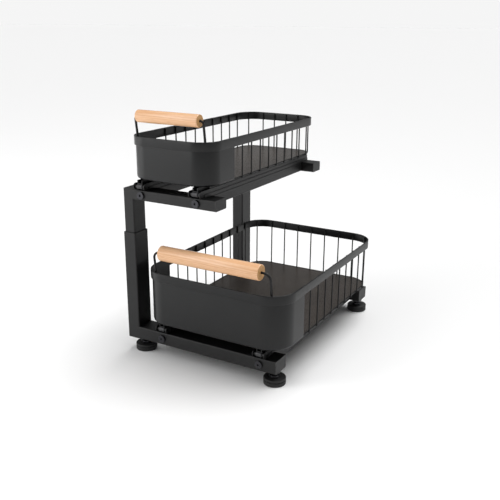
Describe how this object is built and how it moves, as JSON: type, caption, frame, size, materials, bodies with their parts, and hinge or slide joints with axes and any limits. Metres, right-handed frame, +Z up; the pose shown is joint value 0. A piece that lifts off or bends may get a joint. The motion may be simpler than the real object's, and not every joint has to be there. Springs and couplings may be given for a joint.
{
  "type": "pull out cabinet basket",
  "caption": "Two-tier pull out cabinet basket: L-shaped steel frame on telescopic posts, wire-sided baskets with sheet fronts that slide on rollers, and turned wooden grips.",
  "frame": {"origin": "on the floor, at the middle of the outline", "axes": "+X to the right, +Y from the front of the baskets to the rear, +Z up; the baskets pull out along -Y"},
  "size_m": [0.325, 0.4208, 0.4302],
  "materials": {
    "frame_coat": "satin black powder coat on steel tube",
    "slide_coat": "satin black powder coat on folded steel",
    "panel_coat": "matt charcoal powder coat on sheet steel",
    "floor_coat": "matt brown-grey powder coat on sheet steel",
    "wire_coat": "satin black powder coat on steel wire",
    "screw_zinc": "black zinc on steel",
    "black_plastic": "fine matt moulded",
    "foot_rubber": "matt moulded",
    "roller_plastic": "smooth grey acetal",
    "grip_wood": "turned beech with clear matt lacquer"
  },
  "bodies": {
    "lower_frame": {"lower_front_frame": "frame_coat", "lower_rear_frame": "frame_coat", "lower_left_rail": "frame_coat", "lower_right_rail": "frame_coat", "lower_rail_screws": "screw_zinc", "lower_rail_plugs": "black_plastic", "lower_beam_caps": "black_plastic", "foot_nuts": "screw_zinc", "post_collars": "black_plastic", "height_lock_bosses": "frame_coat", "height_lock_screws": "screw_zinc", "lower_left_track": "slide_coat", "lower_right_track": "slide_coat", "lower_roller_pins": "screw_zinc", "lower_track_screws": "screw_zinc"},
    "upper_frame": {"upper_front_frame": "frame_coat", "upper_rear_frame": "frame_coat", "upper_left_rail": "frame_coat", "upper_right_rail": "frame_coat", "upper_rail_screws": "screw_zinc", "upper_rail_plugs": "black_plastic", "upper_beam_caps": "black_plastic", "post_end_plugs": "black_plastic", "upper_left_track": "slide_coat", "upper_right_track": "slide_coat", "upper_roller_pins": "screw_zinc", "upper_track_screws": "screw_zinc"},
    "foot_front_left": {"foot_front_left_pad": "foot_rubber", "foot_front_left_stud": "screw_zinc"},
    "foot_front_right": {"foot_front_right_pad": "foot_rubber", "foot_front_right_stud": "screw_zinc"},
    "foot_rear_left": {"foot_rear_left_pad": "foot_rubber", "foot_rear_left_stud": "screw_zinc"},
    "foot_rear_right": {"foot_rear_right_pad": "foot_rubber", "foot_rear_right_stud": "screw_zinc"},
    "lower_basket": {"lower_basket_rim": "panel_coat", "lower_basket_panel": "panel_coat", "lower_basket_floor": "floor_coat", "lower_basket_rod": "wire_coat", "lower_basket_wires": "wire_coat", "lower_handle": "wire_coat", "lower_left_runner": "slide_coat", "lower_right_runner": "slide_coat", "lower_wheel_pins": "screw_zinc"},
    "lower_rollers": {"lower_front_rollers": "roller_plastic"},
    "lower_wheels": {"lower_rear_wheels": "roller_plastic"},
    "lower_grip_roll": {"lower_grip": "grip_wood"},
    "upper_basket": {"upper_basket_rim": "panel_coat", "upper_basket_panel": "panel_coat", "upper_basket_floor": "floor_coat", "upper_basket_rod": "wire_coat", "upper_basket_wires": "wire_coat", "upper_handle": "wire_coat", "upper_left_runner": "slide_coat", "upper_right_runner": "slide_coat", "upper_wheel_pins": "screw_zinc"},
    "upper_rollers": {"upper_front_rollers": "roller_plastic"},
    "upper_wheels": {"upper_rear_wheels": "roller_plastic"},
    "upper_grip_roll": {"upper_grip": "grip_wood"}
  },
  "joints": [
    {"name": "foot_front_left_height", "type": "slide", "parent": "lower_frame", "child": "foot_front_left", "axis": [0, 0, -1], "range_m": [-0.0025, 0.008]},
    {"name": "foot_front_right_height", "type": "slide", "parent": "lower_frame", "child": "foot_front_right", "axis": [0, 0, -1], "range_m": [-0.0025, 0.008]},
    {"name": "foot_rear_left_height", "type": "slide", "parent": "lower_frame", "child": "foot_rear_left", "axis": [0, 0, -1], "range_m": [-0.0025, 0.008]},
    {"name": "foot_rear_right_height", "type": "slide", "parent": "lower_frame", "child": "foot_rear_right", "axis": [0, 0, -1], "range_m": [-0.0025, 0.008]},
    {"name": "tier_height", "type": "slide", "parent": "lower_frame", "child": "upper_frame", "axis": [0, 0, 1], "range_m": [-0.05, 0.04]},
    {"name": "lower_basket_pull", "type": "slide", "parent": "lower_frame", "child": "lower_basket", "axis": [0, -1, 0], "range_m": [0, 0.29]},
    {"name": "lower_rollers_turn", "type": "hinge", "parent": "lower_frame", "child": "lower_rollers", "pos_m": [-0.07953, -0.19058, 0.0534], "axis": [1, 0, 0], "continuous": true},
    {"name": "lower_wheels_turn", "type": "hinge", "parent": "lower_basket", "child": "lower_wheels", "pos_m": [-0.07953, 0.19242, 0.053], "axis": [1, 0, 0], "continuous": true},
    {"name": "lower_grip_turn", "type": "hinge", "parent": "lower_basket", "child": "lower_grip_roll", "pos_m": [0.02422, -0.19742, 0.1967], "axis": [1, 0, 0], "continuous": true},
    {"name": "upper_basket_pull", "type": "slide", "parent": "upper_frame", "child": "upper_basket", "axis": [0, -1, 0], "range_m": [0, 0.29]},
    {"name": "upper_rollers_turn", "type": "hinge", "parent": "upper_frame", "child": "upper_rollers", "pos_m": [-0.11473, -0.19058, 0.3039], "axis": [1, 0, 0], "continuous": true},
    {"name": "upper_wheels_turn", "type": "hinge", "parent": "upper_basket", "child": "upper_wheels", "pos_m": [-0.11473, 0.19242, 0.3035], "axis": [1, 0, 0], "continuous": true},
    {"name": "upper_grip_turn", "type": "hinge", "parent": "upper_basket", "child": "upper_grip_roll", "pos_m": [-0.05728, -0.18574, 0.42], "axis": [1, 0, 0], "continuous": true}
  ],
  "couplings": [
    {"joint": "lower_rollers_turn", "follows": "lower_basket_pull", "rad_per_m": 238.1},
    {"joint": "lower_wheels_turn", "follows": "lower_basket_pull", "rad_per_m": 215.05},
    {"joint": "upper_rollers_turn", "follows": "upper_basket_pull", "rad_per_m": 238.1},
    {"joint": "upper_wheels_turn", "follows": "upper_basket_pull", "rad_per_m": 215.05}
  ]
}
